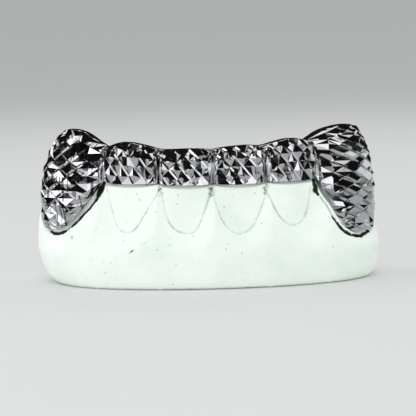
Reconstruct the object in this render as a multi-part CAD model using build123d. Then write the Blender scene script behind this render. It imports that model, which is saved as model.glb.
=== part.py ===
from build123d import *
import math
import os
from collections import namedtuple

# A diamond-cut silver grill of six caps on a plaster cast of the lower front teeth.
# X runs to the right, Y away from the viewer and Z up. All lengths are millimetres.

# Metal of the grill: its walls, the height over which the thin rim grows to the full wall, the
# gap to the plaster teeth, and the share by which a section draws in at the margin
WALL_SIDE = 0.85
WALL_TOP = 0.95
WALL_RIM = 0.42
RIM_HEIGHT = 1.20
FIT_GAP = 0.07
TUCK = 0.05

# Plaster base: height of the gum line and of the widest level, the shelves beyond the metal, how
# far the widest line lies behind the canines, and how far the front outline fans out behind it
GUM_Z = 5.70
WIDEST_Z = 3.30
SHELF_LEFT = 0.24
SHELF_RIGHT = 0.48
SHELF_FRONT = 1.55
SHELF_BACK = 1.22
WIDE_BEHIND = 0.85
FRONT_FAN = 13.0

# Back corners of the base: their width, the height of the shoulder on each side and of the back
# edge above the widest level, and how far the corner comes in beside the canine
CORNER_WIDTH = 4.60
CORNER_INSET = 2.10
SHOULDER_LEFT = 3.60
SHOULDER_RIGHT = 1.50
BACK_RISE = 1.50
SIDE_RISE = 0.50

# Contacts between neighbouring caps: the point on the biting edge, the way the groove faces
# (degrees from straight ahead), its depths in front and behind, and heights above the gum line of
# the biting edge and of the metal margins in front and behind
Contact = namedtuple("Contact", "name x y face labial lingual top margin back_margin")
CONTACTS = [
    Contact("left_canine_lateral", -9.95, 5.60, -37.0, 1.60, 1.90, 8.50, 5.25, 3.30),
    Contact("left_lateral_central", -4.97, 2.95, -16.0, 1.70, 1.95, 8.30, 4.88, 3.10),
    Contact("midline", 0.00, 2.25, 0.0, 1.65, 1.95, 8.25, 4.78, 3.00),
    Contact("right_central_lateral", 4.97, 2.95, 16.0, 1.70, 1.95, 8.45, 4.82, 3.10),
    Contact("right_lateral_canine", 9.95, 5.60, 37.0, 1.60, 1.90, 8.55, 5.15, 3.30),
]

# Incisor caps from left to right: depths from the biting edge, heights above the gum line of the
# biting edge at its quarter points, of the metal margin and of this tooth's own gum, and the
# diamond cut (facet columns and rows, groove depth, flat shares)
Incisor = namedtuple(
    "Incisor",
    "name labial lingual top_a top_b top_c margin gum columns rows groove flat_a flat_b",
)
INCISORS = [
    Incisor("left_lateral", 2.30, 2.85, 9.05, 9.00, 8.70, 4.80, 0.30, 8, 5, 0.26, 0.10, 0.10),
    Incisor("left_central", 2.32, 2.80, 8.32, 8.36, 8.35, 4.68, 0.00, 7, 5, 0.26, 0.22, 0.12),
    Incisor("right_central", 2.32, 2.80, 8.45, 8.55, 8.60, 4.68, 0.00, 7, 5, 0.26, 0.24, 0.14),
    Incisor("right_lateral", 2.30, 2.85, 8.80, 9.05, 9.05, 4.72, 0.80, 8, 5, 0.26, 0.10, 0.10),
]

# Form of the incisor caps: exponents of the front and back sections, bow of the biting edge, how
# the depth falls off from the middle (share at the side and exponent), places of the first facet
# column and of the smooth groove's flank, exponent of the front margin, dip of the back margin,
# smooth band at the margin, share of the height where the facets end, and how far the plaster
# fills the groove between two teeth
INCISOR_POWER = 3.3
LINGUAL_POWER = 2.2
EDGE_BOW = 0.22
SWELL_FLAT = 0.06
SWELL_POWER = 9
FACET_SIDE = 0.83
GROOVE_SIDE = 0.92
MARGIN_POWER = 4
BACK_DIP = 0.50
INCISOR_BAND = 0.04
FACET_TOP = 0.98
CONTACT_ROWS = 5
GROOVE_FILL = 0.60

# Canine caps: side, direction (degrees) and half length of the tooth, depths, roundness in plan
# and of the section, heights of the tip and of the lowest margin above the gum line, and the
# diamond cut (columns, row pitch, smooth bands at the margin and the biting edge, groove depth,
# flat shares)
Canine = namedtuple(
    "Canine",
    "name side turn half_length labial lingual power profile tip lowest columns pitch band rim "
    "groove flat_a flat_b",
)
LEFT_CANINE = Canine(
    "left_canine", -1, 47.0, 4.30, 4.15, 3.70, 2.30, 2.10, 10.22, 0.00, 8, 0.78, 0.30, 0.25,
    0.15, 0.76, 0.76,
)
RIGHT_CANINE = Canine(
    "right_canine", 1, 47.0, 4.35, 4.60, 3.70, 2.40, 2.45, 10.10, -0.98, 8, 0.60, 0.30, 0.25,
    0.17, 0.88, 0.66,
)

# Angles round a canine, in degrees from its mesial end: first facet column, last facet column, and
# the two ends of the back columns; height above the gum line that the facet rows are counted from;
# and how the smooth band narrows with the angle
CANINE_SHOULDER = 21.5
FACET_END = 150.0
BACK_FROM = 338.0
BACK_TO = 244.0
CANINE_LEVEL = 4.80
BAND_START = 1.5
BAND_FALL = 1.0

# Canine heights round the tooth: angle from the mesial end through the labial middle (90) and the
# distal end (180), place of the top point as a share of the half length, share of the rise from
# the contact to the tip, and share of the fall from the contact's margin to the lowest margin
Station = namedtuple("Station", "angle ridge rise fall")
LEFT_STATIONS = [
    Station(18.0, 1.00, 0.000, 0.000),
    Station(26.0, 0.72, 0.128, 0.210),
    Station(36.0, 0.48, 0.349, 0.400),
    Station(48.0, 0.28, 0.698, 0.600),
    Station(62.0, 0.10, 0.953, 0.790),
    Station(80.0, -0.08, 1.000, 0.981),
    Station(100.0, -0.25, 0.977, 1.000),
    Station(130.0, -0.25, 0.977, 0.886),
    Station(150.0, -0.25, 0.977, 0.771),
    Station(180.0, -0.25, 0.977, 0.562),
    Station(235.0, -0.25, 0.977, 0.562),
    Station(280.0, 0.10, 0.953, 0.638),
    Station(342.0, 1.00, 0.000, 0.371),
]
RIGHT_STATIONS = [
    Station(18.0, 1.00, 0.000, 0.090),
    Station(26.0, 0.70, 0.226, 0.375),
    Station(38.0, 0.34, 0.581, 0.661),
    Station(58.0, -0.06, 0.884, 0.905),
    Station(78.0, -0.42, 1.000, 1.000),
    Station(96.0, -0.72, 0.910, 0.971),
    Station(130.0, -0.72, 0.910, 0.856),
    Station(180.0, -0.72, 0.910, 0.693),
    Station(235.0, -0.72, 0.910, 0.579),
    Station(280.0, -0.06, 0.884, 0.530),
    Station(342.0, 1.00, 0.000, 0.302),
]

# Hand-cut unevenness: groove depth and flat sizes as shares, lean of the flats as a share of the
# facet height, and lift of the pyramid tops; flats smaller than the last share are left as points
GROOVE_WOBBLE = 0.15
FLAT_WOBBLE = 0.25
FLAT_LEAN = 0.38
TOP_WOBBLE = 0.05
SMALLEST_FLAT = 0.05

# Rows of a smooth section, as shares of its height
SMOOTH_SHARES = (0.0, 0.16, 0.36, 0.56, 0.74, 0.88, 0.965, 1.0)
CAVITY_SHARES = (0.0, 0.22, 0.48, 0.72, 0.90, 1.0)
ARC_STEPS = 60
ANGLE_STEPS = 200

# Plaster below the metal: share of the way out to the base outline, and share of the way down to
# the gum line and then to the widest level (1 to 2), under the incisors; out and down shares under
# the canines and behind the teeth; shares of the ditch beside and the pocket next to the canines;
# and how much of the groove between two teeth is filled
Ledge = namedtuple(
    "Ledge", "name out down canine_out canine_down back_out back_down ditch pocket fill"
)
LEDGES = [
    Ledge("shelf", 0.04, 0.04, 0.05, 0.08, 0.02, 0.05, 0.0, 0.6, 0.00),
    Ledge("strip", 0.18, 0.08, 0.38, 0.18, 0.08, 0.14, 0.0, 1.0, 0.05),
    Ledge("crown", 0.29, 0.52, 0.50, 0.28, 0.16, 0.34, 1.0, 0.9, 0.30),
    Ledge("neck", 0.37, 0.97, 0.62, 0.32, 0.26, 0.58, 0.0, 0.2, 0.70),
    Ledge("gum_edge", 0.44, 1.05, 0.76, 0.48, 0.48, 0.86, 0.0, 0.0, 0.90),
    Ledge("gum", 0.76, 1.40, 0.90, 0.66, 0.88, 0.93, 0.0, 0.0, 1.00),
    Ledge("swell", 0.94, 1.70, 0.97, 0.84, 0.97, 0.97, 0.0, 0.0, 1.00),
    Ledge("widest", 1.00, 2.00, 1.00, 1.00, 1.00, 1.00, 0.0, 0.0, 1.00),
]

# Gum between the teeth: drop from the margin to its peak, and exponent of its arch under a tooth
PAPILLA_DROP = 0.90
GUM_POWER = 2.2

# Ditch beside the canines: depth, angles it runs between and length of its ends in degrees
DITCH_DEPTH = 0.42
DITCH_FROM = 24.0
DITCH_TO = 96.0
DITCH_END = 10.0

# Pockets in the plaster next to the canines: depth, share of it at each contact, and share that
# reaches the columns beside the contact
POCKET_DEPTH = 1.90
POCKETS = {"left_canine_lateral": 0.60, "right_lateral_canine": 1.00}
POCKET_SPREAD = 0.60

# How much of the canine ledge a contact and the outer part of a lateral incisor take on
CONTACT_LEDGE = 0.9
LATERAL_LEDGE_FROM = 0.7
LATERAL_LEDGE_RATE = 2.0

# Base below the widest level: how far the bottom edge comes in at the front, sides and back, the
# exponent that keeps the side values near the sides, the point the base draws in towards, and
# each row's share of the height and of those insets
DRAW_FRONT = 0.45
DRAW_LEFT = 1.95
DRAW_RIGHT = 1.10
DRAW_BACK = 0.45
DRAW_POWER = 5
DRAW_AHEAD = 1.0
Foot = namedtuple("Foot", "height front left right back")
FEET = [
    Foot(0.576, 0.11, 0.23, 0.11, 0.11),
    Foot(0.212, 0.31, 0.54, 0.38, 0.33),
    Foot(0.000, 1.00, 1.00, 1.00, 1.00),
]

# Columns behind the canines: angle round the tooth, share of the corner inset, share of the way
# from the widest line to the back, and shares of the shoulder height on each side
Distal = namedtuple("Distal", "angle inset back left_rise right_rise")
DISTALS = [
    Distal(170.0, 0.05, 0.37, 0.72, 0.87),
    Distal(190.0, 0.14, 0.65, 1.00, 1.00),
    Distal(212.0, 0.38, 0.90, 0.92, 1.00),
    Distal(234.0, 1.00, 1.00, 0.64, 1.00),
]
SIDE_FOLLOW = 0.7

Column = namedtuple("Column", "tooth top foot full margin profile faceted rows behind angle place")
Base = namedtuple("Base", "left right front wide back")


def noise(a, b, seed):
    """A repeatable value between -1 and 1 for facet (a, b)."""
    value = math.sin(a * 12.9898 + b * 78.233 + seed * 37.719) * 43758.5453
    return 2.0 * (value - math.floor(value)) - 1.0


def along(table, key, value, field):
    """Straight-line value of a field between the rows of a table."""
    for low, high in zip(table, table[1:]):
        if getattr(low, key) <= value <= getattr(high, key):
            span = getattr(high, key) - getattr(low, key)
            share = (value - getattr(low, key)) / span
            return mix(getattr(low, field), getattr(high, field), share)
    return getattr(table[-1], field)


def mix(a, b, share):
    """Value between two values."""
    return a + (b - a) * share


def blend(a, b, share):
    """Point between two points of any length."""
    return tuple(mix(p, q, share) for p, q in zip(a, b))


def facing(degrees):
    """Unit vector in plan, zero straight ahead and positive to the right."""
    angle = math.radians(degrees)
    return (math.sin(angle), -math.cos(angle))


def section_point(column, share, inset_side, inset_top, inset_rim):
    """Point of a column at a share of its height, moved into the metal by the insets."""
    top_z = column.top[2] - inset_top
    height = top_z - column.margin
    round_part = (1.0 - share ** column.profile) ** (1.0 / column.profile)
    round_part *= 1.0 - TUCK * (1.0 - share) ** 3
    dx = column.foot[0] - column.top[0]
    dy = column.foot[1] - column.top[1]
    reach = math.hypot(dx, dy)
    inset = mix(inset_rim, inset_side, min(1.0, share * height / RIM_HEIGHT))
    scale = round_part * (reach - inset) / reach
    return (
        column.top[0] + dx * scale,
        column.top[1] + dy * scale,
        top_z - height * (1.0 - share),
    )


def outer_point(column, share):
    """Point of the outer metal surface of a column."""
    return section_point(column, share, 0.0, 0.0, 0.0)


def section_normal(column, share):
    """Outward direction of the outer surface of a column."""
    low = outer_point(column, max(0.0, share - 0.01))
    high = outer_point(column, min(1.0, share + 0.01))
    dx = column.foot[0] - column.top[0]
    dy = column.foot[1] - column.top[1]
    reach = math.hypot(dx, dy)
    run = ((low[0] - high[0]) * dx + (low[1] - high[1]) * dy) / reach
    rise = high[2] - low[2]
    size = math.hypot(run, rise)
    return (dx / reach * rise / size, dy / reach * rise / size, run / size)


def arc_shares(column):
    """Running length of the outer section against its share of height."""
    table = [(0.0, 0.0)]
    last = outer_point(column, 0.0)
    for step in range(1, ARC_STEPS + 1):
        share = math.sin(0.5 * math.pi * step / ARC_STEPS)
        point = outer_point(column, share)
        table.append((table[-1][0] + math.dist(last, point), share))
        last = point
    return table


def share_at(table, length):
    """Share of height at a running length of a section."""
    for low, high in zip(table, table[1:]):
        if low[0] <= length <= high[0]:
            return mix(low[1], high[1], (length - low[0]) / (high[0] - low[0]))
    return 1.0


def length_at(table, share):
    """Running length of a section at a share of its height."""
    for low, high in zip(table, table[1:]):
        if low[1] <= share <= high[1]:
            return mix(low[0], high[0], (share - low[1]) / (high[1] - low[1]))
    return table[-1][0]


def quarter_value(values, share):
    """Value between evenly spaced values from the left contact to the right one."""
    spans = len(values) - 1
    low = min(spans - 1, int(share * spans))
    return mix(values[low], values[low + 1], share * spans - low)


def incisor_columns(index, behind):
    """Columns of one incisor cap between its two contacts, without the contacts themselves."""
    tooth = INCISORS[index]
    left = CONTACTS[index]
    right = CONTACTS[index + 1]
    inner = [-1.0 + 2.0 * k / tooth.columns for k in range(tooth.columns + 1)]
    spots = [-GROOVE_SIDE] + [FACET_SIDE * t for t in inner] + [GROOVE_SIDE]
    columns = []
    for t in spots:
        share = 0.5 * (t + 1.0)
        way = facing(mix(left.face, right.face, share))
        bow = EDGE_BOW * (1.0 - t * t)
        edge_x = mix(left.x, right.x, share) + way[0] * bow
        edge_y = mix(left.y, right.y, share) + way[1] * bow
        if behind:
            sign = -1.0
            depth_mid = tooth.lingual
            depth_side = mix(left.lingual, right.lingual, share)
            margin = mix(left.back_margin, right.back_margin, share) - BACK_DIP * (1.0 - t * t)
        else:
            sign = 1.0
            depth_mid = tooth.labial
            depth_side = mix(left.labial, right.labial, share)
            middle = 1.0 - t ** MARGIN_POWER
            margin = mix(mix(left.margin, right.margin, share), tooth.margin, middle)
        swell = 1.0 - SWELL_FLAT * t * t - (1.0 - SWELL_FLAT) * abs(t) ** SWELL_POWER
        depth = mix(depth_side, depth_mid, swell)
        tops = (left.top, tooth.top_a, tooth.top_b, tooth.top_c, right.top)
        columns.append(
            Column(
                tooth=tooth.name,
                top=(edge_x, edge_y, GUM_Z + quarter_value(tops, share)),
                foot=(edge_x + sign * way[0] * depth, edge_y + sign * way[1] * depth),
                full=(edge_x + sign * way[0] * depth_mid, edge_y + sign * way[1] * depth_mid),
                margin=GUM_Z + margin,
                profile=LINGUAL_POWER if behind else INCISOR_POWER,
                faceted=abs(t) < 0.5 * (FACET_SIDE + GROOVE_SIDE) and not behind,
                rows=tooth.rows,
                behind=behind,
                angle=0.0,
                place=t,
            )
        )
    return columns


def contact_column(contact, behind):
    """The smooth groove column at a contact."""
    way = facing(contact.face)
    sign = -1.0 if behind else 1.0
    depth = contact.lingual if behind else contact.labial
    filled = depth + GROOVE_FILL
    return Column(
        tooth=contact.name,
        top=(contact.x, contact.y, GUM_Z + contact.top),
        foot=(contact.x + sign * way[0] * depth, contact.y + sign * way[1] * depth),
        full=(contact.x + sign * way[0] * filled, contact.y + sign * way[1] * filled),
        margin=GUM_Z + (contact.back_margin if behind else contact.margin),
        profile=LINGUAL_POWER if behind else INCISOR_POWER,
        faceted=False,
        rows=CONTACT_ROWS,
        behind=behind,
        angle=0.0,
        place=1.0,
    )


def canine_contact(canine):
    """The contact that a canine cap starts from."""
    return CONTACTS[0] if canine.side < 0 else CONTACTS[-1]


def canine_axes(canine):
    """Mesial and labial directions of a canine and its middle, which the contact places."""
    turn = math.radians(canine.turn)
    mesial = (-canine.side * math.cos(turn), -math.sin(turn))
    labial = (canine.side * math.sin(turn), -math.cos(turn))
    contact = canine_contact(canine)
    middle = (
        contact.x - mesial[0] * canine.half_length,
        contact.y - mesial[1] * canine.half_length,
    )
    return mesial, labial, middle


def canine_column(canine, stations, angle, faceted):
    """One column of a canine cap at an angle round the tooth."""
    mesial, labial, middle = canine_axes(canine)
    contact = canine_contact(canine)
    theta = math.radians(angle)
    across = math.copysign(abs(math.cos(theta)) ** (2.0 / canine.power), math.cos(theta))
    out = math.copysign(abs(math.sin(theta)) ** (2.0 / canine.power), math.sin(theta))
    depth = canine.labial if out >= 0.0 else canine.lingual
    foot = (
        middle[0] + mesial[0] * canine.half_length * across + labial[0] * depth * out,
        middle[1] + mesial[1] * canine.half_length * across + labial[1] * depth * out,
    )
    ridge = along(stations, "angle", angle, "ridge") * canine.half_length
    rise = mix(contact.top, canine.tip, along(stations, "angle", angle, "rise"))
    fall = mix(contact.margin, canine.lowest, along(stations, "angle", angle, "fall"))
    return Column(
        tooth=canine.name,
        top=(middle[0] + mesial[0] * ridge, middle[1] + mesial[1] * ridge, GUM_Z + rise),
        foot=foot,
        full=foot,
        margin=GUM_Z + fall,
        profile=canine.profile,
        faceted=faceted,
        rows=0,
        behind=out < 0.0,
        angle=angle,
        place=0.0,
    )


def canine_angles(canine, stations):
    """Angles of the labial columns, evenly spaced round the foot of the cap."""
    span = FACET_END - CANINE_SHOULDER
    fine = [CANINE_SHOULDER + span * k / ANGLE_STEPS for k in range(ANGLE_STEPS + 1)]
    feet = [canine_column(canine, stations, angle, False).foot for angle in fine]
    run = [0.0]
    for a, b in zip(feet, feet[1:]):
        run.append(run[-1] + math.dist(a, b))
    angles = []
    for k in range(canine.columns + 1):
        goal = run[-1] * k / canine.columns
        index = min(range(len(run)), key=lambda m: abs(run[m] - goal))
        angles.append(fine[index])
    return angles


def canine_columns(canine, stations):
    """Labial, distal and lingual columns of a canine cap, from the mesial groove and back to it."""
    angles = canine_angles(canine, stations)
    front = [canine_column(canine, stations, a, a > angles[0]) for a in angles]
    distal = [canine_column(canine, stations, row.angle, False) for row in DISTALS]
    kept = [column for column in front if column.top != distal[0].top]
    back = []
    start_x = kept[0].top[0]
    for column in reversed(kept):
        share = (column.top[0] - start_x) / (distal[0].top[0] - start_x)
        sample = canine_column(canine, stations, mix(BACK_FROM, BACK_TO, share), False)
        back.append(sample._replace(top=column.top))
    return front, distal, back


def ring_columns():
    """All columns round the grill, clockwise seen from below, starting at the left canine."""
    left_front, left_distal, left_back = canine_columns(LEFT_CANINE, LEFT_STATIONS)
    right_front, right_distal, right_back = canine_columns(RIGHT_CANINE, RIGHT_STATIONS)
    order = range(len(INCISORS))
    ring = list(reversed(left_front))
    for index in order:
        ring.append(contact_column(CONTACTS[index], False))
        ring.extend(incisor_columns(index, False))
    ring.append(contact_column(CONTACTS[-1], False))
    ring.extend(right_front)
    ring.extend(right_distal)
    ring.extend(right_back)
    for index in reversed(order):
        ring.append(contact_column(CONTACTS[index + 1], True))
        ring.extend(reversed(incisor_columns(index, True)))
    ring.append(contact_column(CONTACTS[0], True))
    ring.extend(reversed(left_back))
    ring.extend(reversed(left_distal))
    return ring


def facet_rows(column):
    """Shares of the facet rows of a column, with their row numbers."""
    table = arc_shares(column)
    if column.angle > 0.0:
        canine = tooth_cut(column)
        above = GUM_Z + CANINE_LEVEL - column.margin
        level = above / (column.top[2] - column.margin)
        zero = length_at(table, level) if level > 0.0 else above
        band = canine.band * (BAND_START - BAND_FALL * column.angle / FACET_END)
        first = math.ceil((band - zero) / canine.pitch)
        last = math.floor((table[-1][0] - canine.rim - zero) / canine.pitch)
        return {j: share_at(table, zero + j * canine.pitch) for j in range(first, last + 1)}
    step = (length_at(table, FACET_TOP) - INCISOR_BAND) / column.rows
    return {j: share_at(table, INCISOR_BAND + j * step) for j in range(column.rows + 1)}


def tooth_cut(column):
    """Table row of the tooth that a column belongs to, or None at a contact."""
    for tooth in INCISORS + [LEFT_CANINE, RIGHT_CANINE]:
        if tooth.name == column.tooth:
            return tooth
    return None


def outer_lists(ring):
    """Points of every outer column: below the facets, the facet rows, and above them."""
    lists = []
    for column in ring:
        if column.behind or column.angle > FACET_END:
            lists.append(([outer_point(column, s) for s in SMOOTH_SHARES], {}, []))
            continue
        rows = facet_rows(column)
        below = [outer_point(column, 0.0)]
        if column.angle > 0.0:
            below.append(outer_point(column, 0.5 * rows[min(rows)]))
        above = [outer_point(column, 0.5 * (1.0 + rows[max(rows)])), column.top]
        lists.append((below, rows, above))
    return lists


def add_strip(triangles, low_chain, high_chain):
    """Triangles between two chains of points that run side by side, left chain first."""
    a = 0
    b = 0
    while a < len(low_chain) - 1 or b < len(high_chain) - 1:
        step_a = math.inf
        step_b = math.inf
        if a < len(low_chain) - 1:
            step_a = math.dist(low_chain[a + 1], high_chain[b])
        if b < len(high_chain) - 1:
            step_b = math.dist(low_chain[a], high_chain[b + 1])
        if step_a <= step_b:
            corner = (low_chain[a], high_chain[b], low_chain[a + 1])
            a += 1
        else:
            corner = (low_chain[a], high_chain[b], high_chain[b + 1])
            b += 1
        if len(set(corner)) == 3:
            triangles.append(corner)


def shared_rows(lists):
    """First and last facet row that each column shares with the next one."""
    spans = []
    for k, here in enumerate(lists):
        there = lists[(k + 1) % len(lists)]
        common = sorted(set(here[1]) & set(there[1]))
        spans.append((common[0], common[-1]) if len(common) > 1 else None)
    return spans


def facet_points(ring, lists, spans):
    """Points of the facet grid: even ones lie in the grooves, odd ones are pyramid tops."""
    points = {}
    for k, column in enumerate(ring):
        cut = tooth_cut(column)
        left = spans[k - 1]
        right = spans[k]
        for j, share in lists[k][1].items():
            point = outer_point(column, share)
            inside = left is not None and right is not None
            inside = inside and left[0] < j < left[1] and right[0] < j < right[1]
            move = 0.0
            if column.faceted and inside:
                if (k + j) % 2 == 0:
                    move = -cut.groove * (1.0 + GROOVE_WOBBLE * noise(k, j, 1))
                else:
                    move = TOP_WOBBLE * noise(k, j, 2)
            normal = section_normal(column, share)
            points[k, j] = tuple(p + move * n for p, n in zip(point, normal))
    return points


def outer_triangles(ring):
    """Triangles of the outer metal surface, with the diamond-cut facets in front."""
    lists = outer_lists(ring)
    count = len(ring)
    spans = shared_rows(lists)
    points = facet_points(ring, lists, spans)
    triangles = []
    for k in range(count):
        nxt = (k + 1) % count
        span = spans[k]
        chain_a = full_chain(lists[k], points, k)
        chain_b = full_chain(lists[nxt], points, nxt)
        if span is None:
            add_strip(triangles, chain_a, chain_b)
            continue
        low_a = chain_a[: chain_a.index(points[k, span[0]]) + 1]
        low_b = chain_b[: chain_b.index(points[nxt, span[0]]) + 1]
        add_strip(triangles, low_a, low_b)
        high_a = chain_a[chain_a.index(points[k, span[1]]):]
        high_b = chain_b[chain_b.index(points[nxt, span[1]]):]
        add_strip(triangles, high_a, high_b)
    add_facets(triangles, ring, spans, points)
    return triangles


def full_chain(parts, points, k):
    """All points of a column from the margin to the ridge."""
    below, rows, above = parts
    return list(below) + [points[k, j] for j in sorted(rows)] + list(above)


def add_facets(triangles, ring, spans, points):
    """Pyramids and flat-topped pyramids round the odd points of the facet grid."""
    count = len(ring)
    for k, j in points:
        if (k + j) % 2 == 0:
            continue
        centre = points[k, j]
        left = (k - 1) % count
        right = (k + 1) % count
        corners = []
        quads = (
            (spans[k], right, j, k, j + 1, j),
            (spans[left], k, j + 1, left, j, j),
            (spans[left], left, j, k, j - 1, j - 1),
            (spans[k], k, j - 1, right, j, j - 1),
        )
        for span, ka, ja, kb, jb, low in quads:
            if span is not None and span[0] <= low and low + 1 <= span[1]:
                corners.append((points[ka, ja], points[kb, jb]))
        cut = tooth_cut(ring[k])
        whole = len(corners) == 4 and ring[k].faceted
        whole = whole and ring[left].faceted and ring[right].faceted
        if not whole or cut.flat_a < SMALLEST_FLAT:
            for a, b in corners:
                triangles.append((centre, a, b))
            continue
        add_flat_pyramid(triangles, centre, corners, cut, k, j)


def add_flat_pyramid(triangles, centre, corners, cut, k, j):
    """One facet cell with a flat top that leans a little its own way."""
    right = corners[0][0]
    up = corners[0][1]
    left = corners[1][1]
    down = corners[2][1]
    axis_a = tuple(0.25 * (r - l + d - u) for r, l, d, u in zip(right, left, down, up))
    axis_b = tuple(0.25 * (r - l - d + u) for r, l, d, u in zip(right, left, down, up))
    flat_a = cut.flat_a * (1.0 + FLAT_WOBBLE * noise(k, j, 3))
    flat_b = cut.flat_b * (1.0 + FLAT_WOBBLE * noise(k, j, 4))
    base = tuple(0.25 * (a + b + c + d) for a, b, c, d in zip(right, up, left, down))
    lift = tuple(c - b for c, b in zip(centre, base))
    lean_a = FLAT_LEAN * noise(k, j, 5)
    lean_b = FLAT_LEAN * noise(k, j, 6)
    flat = []
    for sign_a, sign_b in ((1, 1), (-1, 1), (-1, -1), (1, -1)):
        height = 1.0 + lean_a * sign_a * flat_a + lean_b * sign_b * flat_b
        flat.append(
            tuple(
                b + a_part * sign_a * flat_a + b_part * sign_b * flat_b + rise * height
                for b, a_part, b_part, rise in zip(base, axis_a, axis_b, lift)
            )
        )
    outer = (right, up, left, down)
    triangles.append((flat[0], flat[1], flat[2]))
    triangles.append((flat[0], flat[2], flat[3]))
    for n in range(4):
        nxt = (n + 1) % 4
        triangles.append((outer[n], outer[nxt], flat[nxt]))
        triangles.append((outer[n], flat[nxt], flat[n]))


def closed_strips(chains, inward):
    """Triangles of a layer closed round the arch."""
    triangles = []
    for k, here in enumerate(chains):
        there = chains[(k + 1) % len(chains)]
        strip = []
        for row in range(len(here) - 1):
            strip.append((here[row], there[row], here[row + 1]))
            strip.append((there[row], there[row + 1], here[row + 1]))
        for a, b, c in strip:
            if len({a, b, c}) == 3:
                triangles.append((a, c, b) if inward else (a, b, c))
    return triangles


def grill_triangles(ring):
    """Outer metal with its facets, the hollow for the teeth and the rim between them."""
    triangles = outer_triangles(ring)
    walls = (WALL_SIDE, WALL_TOP, WALL_RIM)
    hollow = [[section_point(c, s, *walls) for s in CAVITY_SHARES] for c in ring]
    triangles.extend(closed_strips(hollow, True))
    rim = [outer_point(column, 0.0) for column in ring]
    for k in range(len(ring)):
        nxt = (k + 1) % len(ring)
        triangles.append((rim[k], hollow[k][0], hollow[nxt][0]))
        triangles.append((rim[k], hollow[nxt][0], rim[nxt]))
    return triangles


def base_sizes(ring):
    """Limits of the base: its shelves beyond the metal, and its widest line."""
    xs = [column.foot[0] for column in ring]
    ys = [column.foot[1] for column in ring]
    canine_ys = [canine_axes(canine)[2][1] for canine in (LEFT_CANINE, RIGHT_CANINE)]
    return Base(
        left=SHELF_LEFT - min(xs),
        right=SHELF_RIGHT + max(xs),
        front=min(ys) - SHELF_FRONT,
        wide=0.5 * sum(canine_ys) + WIDE_BEHIND,
        back=max(ys) + SHELF_BACK,
    )


def base_outline(column, base):
    """Point of the base outline that a column runs out to, and the height of its widest level."""
    x, y = column.foot
    side = math.copysign(1.0, x)
    half = base.left if x < 0.0 else base.right
    for row in DISTALS:
        if column.angle == row.angle:
            left_rise = SHOULDER_LEFT * row.left_rise
            rise = left_rise if x < 0.0 else SHOULDER_RIGHT * row.right_rise
            out_x = side * (half - CORNER_INSET * row.inset)
            return (out_x, mix(base.wide, base.back, row.back), WIDEST_Z + rise)
    if y > base.wide:
        return (side * half, base.wide + SIDE_FOLLOW * (y - base.wide), WIDEST_Z + SIDE_RISE)
    depth = base.wide - base.front
    lead = FRONT_FAN * (1.0 - (max(y, 0.0) / base.wide) ** 2)
    run_x = x / half
    run_y = (y - base.wide - lead) / depth
    start_y = lead / depth
    a = run_x ** 2 + run_y ** 2
    b = start_y * run_y
    t = (-b + math.sqrt(b * b - a * (start_y ** 2 - 1.0))) / a
    return (x * t, base.wide + lead + run_y * depth * t, WIDEST_Z)


def base_outlines(ring, base):
    """Base outline points of all columns, evenly spaced along the back."""
    edges = [base_outline(column, base) for column in ring]
    angles = [row.angle for row in DISTALS]
    back = [k for k, c in enumerate(ring) if c.behind and c.angle not in angles]
    for order, k in enumerate(back):
        share = order / (len(back) - 1)
        x = mix(base.right - CORNER_WIDTH, CORNER_WIDTH - base.left, share)
        edges[k] = (x, base.back, WIDEST_Z + BACK_RISE)
    return edges


def canine_share(column):
    """One under a canine, zero under an incisor, and between them beside the contact."""
    if column.angle > 0.0:
        return 1.0
    if column.tooth in POCKETS:
        return CONTACT_LEDGE
    outer = -column.place if column.tooth == "left_lateral" else column.place
    if column.tooth.endswith("lateral"):
        return max(0.0, outer - LATERAL_LEDGE_FROM) * LATERAL_LEDGE_RATE
    return 0.0


def ditch_share(column):
    """Depth of the ditch beside a column, from zero to one."""
    if not DITCH_FROM < column.angle < DITCH_TO:
        return 0.0
    start = (column.angle - DITCH_FROM) / DITCH_END
    end = (DITCH_TO - column.angle) / DITCH_END
    return min(1.0, start, end)


def gum_height(column):
    """Height of the gum line under a column, high between the teeth and low at their middles."""
    papilla = column.margin - PAPILLA_DROP
    for tooth in INCISORS:
        if tooth.name == column.tooth:
            return mix(papilla, GUM_Z + tooth.gum, 1.0 - abs(column.place) ** GUM_POWER)
    return papilla


def foot_points(column, edge, base):
    """Points of the base below its widest level, from the bottom up."""
    half = base.left if edge[0] < 0.0 else base.right
    sideways = min(1.0, abs(edge[0]) / half) ** DRAW_POWER
    inward = (-edge[0], base.wide - DRAW_AHEAD - edge[1])
    size = math.hypot(inward[0], inward[1])
    points = []
    for row in reversed(FEET):
        front = DRAW_BACK * row.back if column.behind else DRAW_FRONT * row.front
        flank = DRAW_LEFT * row.left if edge[0] < 0.0 else DRAW_RIGHT * row.right
        inset = mix(front, flank, sideways) / size
        x = edge[0] + inward[0] * inset
        y = edge[1] + inward[1] * inset
        points.append((x, y, WIDEST_Z * row.height))
    return points


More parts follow.
